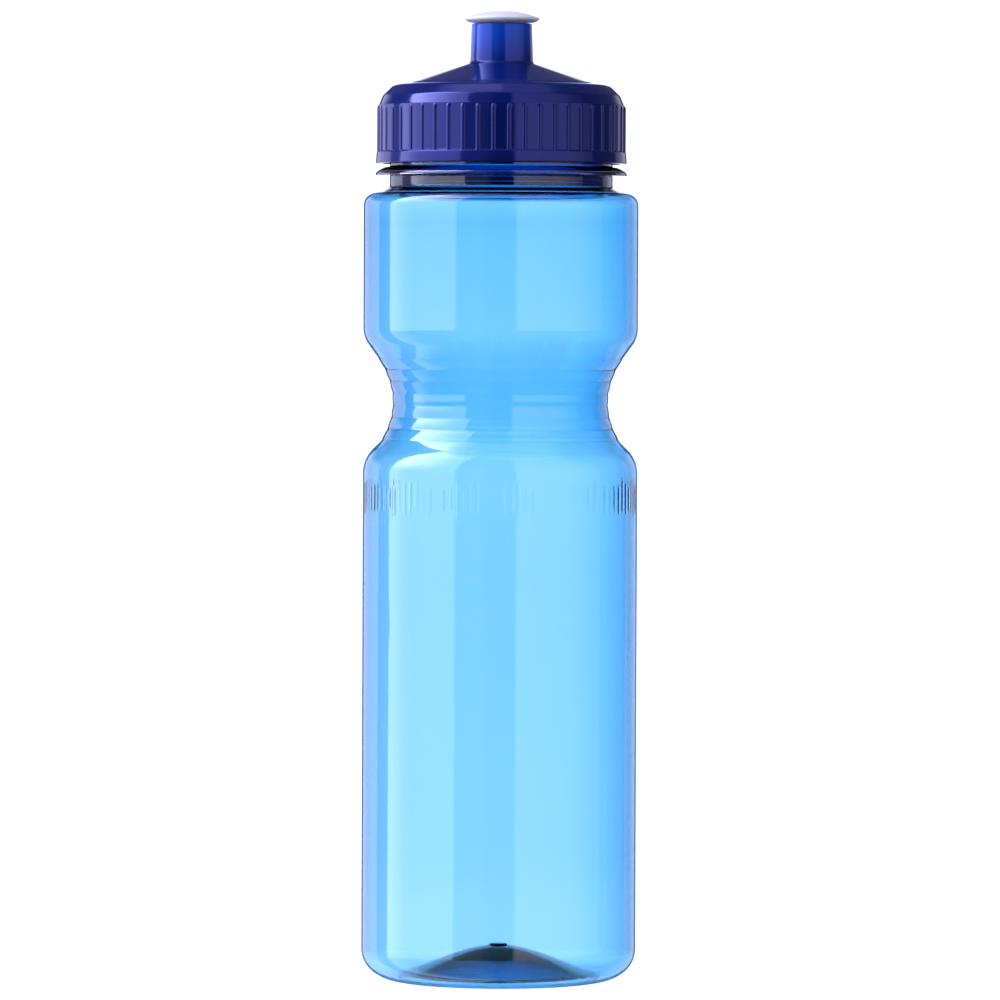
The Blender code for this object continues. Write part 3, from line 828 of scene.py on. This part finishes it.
def frosted_plastic():
    """Translucent white plastic with a matt, grainy skin."""
    material, nodes, links, shader = new_material("frosted_valve")
    cloud = noise_node(nodes, links, 140, 4).outputs["Fac"]
    links.new(color_between(nodes, links, cloud, *VALVE_COLORS), shader.inputs["Base Color"])
    roughness = map_range(nodes, links, cloud, NOISE_LOW, NOISE_HIGH, 0.28, 0.42)
    links.new(roughness, shader.inputs["Roughness"])
    shader.inputs["Subsurface Weight"].default_value = VALVE_LIGHT_INSIDE
    shader.inputs["Subsurface Radius"].default_value = VALVE_LIGHT_REACH
    shader.inputs["Subsurface Scale"].default_value = VALVE_LIGHT_SCALE
    grain = noise_node(nodes, links, 2500, 3)
    add_bump(nodes, links, grain.outputs["Fac"], 0.12, 0.1 * MM, shader)
    return material


def washer_foam():
    """Pale closed-cell foam."""
    material, nodes, links, shader = new_material("washer_foam")
    cells = noise_node(nodes, links, 1800, 4).outputs["Fac"]
    links.new(color_between(nodes, links, cells, *WASHER_COLORS), shader.inputs["Base Color"])
    shader.inputs["Roughness"].default_value = 0.6
    add_bump(nodes, links, cells, 0.3, 0.1 * MM, shader)
    return material


# ---------------------------------------------------------------- studio

# Light on the sheet behind the bottle, and the tint of the tent around it
WHITE = (1.27, 1.33, 2.0, 1)
PANEL_TINT = (0.95, 0.96, 1.25)

# The tent's panels: a level, or a curve of (azimuth, level) with the azimuth in degrees from the camera's
# side, negative to the left and positive to the right
BACK_LEFT = ((-155, 1.1), (-126, 1.5))
LEFT_STRIP = 0.45
LEFT_WALL = ((-106, 4.2), (-78, 2.5), (-38, 2.2))
FRONT_SLOT = ((-20, 0.3), (-5, 0.05))
RIGHT_WALL = ((20, 1.5), (60, 1.3), (92, 0.5))
RIGHT_SEAM = 0.1
BACK_RIGHT = ((133, 0.45), (155, 0.8))
BACK_SEAM = 0.04
ROOF = ((-95, 1.4), (-55, 0.6))
SEAM_SOFTNESS = radians(1.5)

# What is added to the walls low down and high up: curves of (upward part of the direction, level)
LEFT_LOW = ((-0.2, -2.2), (-0.09, 0.0))
LEFT_HIGH = ((0.12, 0.0), (0.6, 6.0))
LEFT_HIGH_SHARE = ((-95, 1.0), (-40, 0.1))
LEFT_LEAST = 0.2
RIGHT_LOW = ((-0.2, -1.3), (-0.09, 0.0))
RIGHT_HIGH = ((0.3, 0.0), (0.8, -0.5))
RIGHT_LEAST = 0.1

# Edges in the direction's x, y or z, each with its softness
ROOF_EDGE = (0.9, 0.06)
HIGH_BACK_EDGES = (0.3, 0.1), (0.25, 0.08)
SHEET_FRONT_EDGE = (0.0, 0.05)
NARROW_SHEET_EDGE = (0.1, 0.02)
WIDE_SHEET_EDGE = (0.4, 0.05)
SHEET_TOP_SOFTNESS = 0.06

# What a reflected ray sees, and what a ray sees that went through plastic
TENT_SHARES = (1.0, 0.15)
HIGH_BACK_LEVELS = (0.12, 0.4)
SHEET_TOPS = (0.22, 0.4)


def curve(w, azimuth, points):
    """A smooth curve through points of azimuth in degrees and level."""
    return w.ramp(azimuth, [(radians(turn), level) for turn, level in points])


def left_wall(w, azimuth, height):
    """A big soft box from beside the camera round to the bottle's side, hottest high up and far round."""
    level = w.math("ADD", curve(w, azimuth, LEFT_WALL), w.ramp(height, LEFT_LOW))
    high = w.math("MULTIPLY", w.ramp(height, LEFT_HIGH), curve(w, azimuth, LEFT_HIGH_SHARE))
    return w.math("MAXIMUM", w.math("ADD", level, high), LEFT_LEAST)


def right_wall(w, azimuth, height):
    """A calmer soft box that fades towards the bottle's side."""
    level = w.math("ADD", curve(w, azimuth, RIGHT_WALL), w.ramp(height, RIGHT_LOW))
    return w.math("MAXIMUM", w.math("ADD", level, w.ramp(height, RIGHT_HIGH)), RIGHT_LEAST)


def tent_level(w, direction, passed):
    """How bright the tent is in a direction; passed is 1 for a ray that went through plastic."""
    x, y, z = direction
    azimuth = w.math("ARCTAN2", x, w.math("MULTIPLY", y, -1))
    # Each panel starts at an azimuth and hides what was there, from the far left round to the far right
    panels = (
        (-162, curve(w, azimuth, BACK_LEFT)),
        (-124, LEFT_STRIP),
        (-107, left_wall(w, azimuth, z)),
        (-38, curve(w, azimuth, FRONT_SLOT)),
        (13, right_wall(w, azimuth, z)),
        (93, RIGHT_SEAM),
        (131, curve(w, azimuth, BACK_RIGHT)),
        (162, BACK_SEAM),
    )
    value = BACK_SEAM
    for start, level in panels:
        value = w.mix(w.step(azimuth, radians(start), SEAM_SOFTNESS), value, level)
    value = w.mix(w.step(z, *ROOF_EDGE), value, curve(w, azimuth, ROOF))
    value = w.math("MULTIPLY", value, w.mix(passed, *TENT_SHARES))
    far, high = HIGH_BACK_EDGES
    high_back = w.math("MULTIPLY", w.step(y, *far), w.step(z, *high))
    return w.mix(high_back, value, w.mix(passed, *HIGH_BACK_LEVELS))


def white_share(w, direction, path):
    """1 where a ray sees the white sheet and 0 where it sees the tent.

    The sheet is a patch behind the bottle, narrow for reflected rays and wide for those that went through
    plastic.  The camera's own rays, and rays that were never reflected, see it in all directions.
    """
    x, y, z = direction
    passed = path.outputs["Is Transmission Ray"]
    low = w.below(w.math("ABSOLUTE", z), w.mix(passed, *SHEET_TOPS), SHEET_TOP_SOFTNESS)
    narrow = w.below(w.math("ABSOLUTE", x), *NARROW_SHEET_EDGE)
    wide = w.below(w.math("ABSOLUTE", x), *WIDE_SHEET_EDGE)
    sheet = w.math("MULTIPLY", w.mix(passed, narrow, wide), low)
    sheet = w.math("MULTIPLY", sheet, w.step(y, *SHEET_FRONT_EDGE))
    unreflected = w.math("LESS_THAN", path.outputs["Glossy Depth"], 0.5)
    straight = w.math("MULTIPLY", passed, unreflected)
    return w.math("MAXIMUM", w.math("MAXIMUM", sheet, straight), path.outputs["Is Camera Ray"])


def make_world():
    """A tent of panels around the bottle: a bright wall on the left, a calmer one on the right, a dark
    slot on the camera's side, seams between them, and a white sheet at the back."""
    world = bpy.data.worlds.new("light_tent")
    bpy.context.scene.world = world
    world.use_nodes = True
    world.cycles.sampling_method = "NONE"
    tree = world.node_tree
    place = tree.nodes.new("ShaderNodeTexCoord")
    split = tree.nodes.new("ShaderNodeSeparateXYZ")
    tree.links.new(place.outputs["Generated"], split.inputs["Vector"])
    path = tree.nodes.new("ShaderNodeLightPath")
    w = NodeMath(tree)

    panel = tree.nodes.new("ShaderNodeVectorMath")
    panel.operation = "SCALE"
    panel.inputs[0].default_value = PANEL_TINT
    level = tent_level(w, split.outputs, path.outputs["Is Transmission Ray"])
    tree.links.new(level, panel.inputs["Scale"])
    color = tree.nodes.new("ShaderNodeMix")
    color.data_type = "RGBA"
    tree.links.new(white_share(w, split.outputs, path), color.inputs["Factor"])
    tree.links.new(panel.outputs["Vector"], color.inputs["A"])
    color.inputs["B"].default_value = WHITE
    background = tree.nodes["Background"]
    tree.links.new(color.outputs["Result"], background.inputs["Color"])
    background.inputs["Strength"].default_value = 1.0


FLOOR_R = 85 * MM
FLOOR_DROP = 0.05 * MM
FLOOR_COLOR = (0.3, 0.3, 0.3, 1)
FLOOR_GLOW = (0.63, 0.67, 1.0, 1)
FLOOR_GLOW_STRENGTH = 1.6


def make_floor():
    """A small pale disc under the bottle that glows enough to vanish into the white."""
    bm = bmesh.new()
    bmesh.ops.create_circle(bm, cap_ends=True, radius=FLOOR_R, segments=96)
    floor_disc = add_mesh("floor", bm)
    floor_disc.location.z = -FLOOR_DROP
    material, _, _, shader = new_material("pale_floor")
    shader.inputs["Base Color"].default_value = FLOOR_COLOR
    shader.inputs["Roughness"].default_value = 0.8
    shader.inputs["Specular IOR Level"].default_value = 0.0
    shader.inputs["Emission Color"].default_value = FLOOR_GLOW
    shader.inputs["Emission Strength"].default_value = FLOOR_GLOW_STRENGTH
    floor_disc.data.materials.append(material)
    floor_disc.visible_glossy = False


CAMERA_DISTANCE = 1.94
CAMERA_SHIFT = -0.21 * MM
CAMERA_ROLL = radians(-0.23)
EYE_Z = 180.6 * MM
AIM_Z = 127.7 * MM
VIEW_WIDTH = 265.8 * MM
SENSOR_WIDTH = 36


def make_camera():
    """High up on the body, nearly two metres away, looking slightly down."""
    data = bpy.data.cameras.new("camera")
    data.sensor_width = SENSOR_WIDTH
    data.lens = SENSOR_WIDTH * CAMERA_DISTANCE / VIEW_WIDTH
    data.clip_end = 20
    camera = bpy.data.objects.new("camera", data)
    bpy.context.scene.collection.objects.link(camera)
    camera.location = (CAMERA_SHIFT, -CAMERA_DISTANCE, EYE_Z)
    pitch = atan((EYE_Z - AIM_Z) / CAMERA_DISTANCE)
    camera.rotation_euler = (pi / 2 - pitch, CAMERA_ROLL, 0)
    bpy.context.scene.camera = camera


def main():
    make_camera()
    make_world()
    make_floor()
    bpy.context.scene.view_settings.view_transform = "Standard"
    make_bottle().data.materials.append(clear_plastic())
    lid_blue = lid_plastic()
    make_lid().data.materials.append(lid_blue)
    make_pin().data.materials.append(lid_blue)
    make_valve().data.materials.append(frosted_plastic())
    make_gasket().data.materials.append(washer_foam())


main()
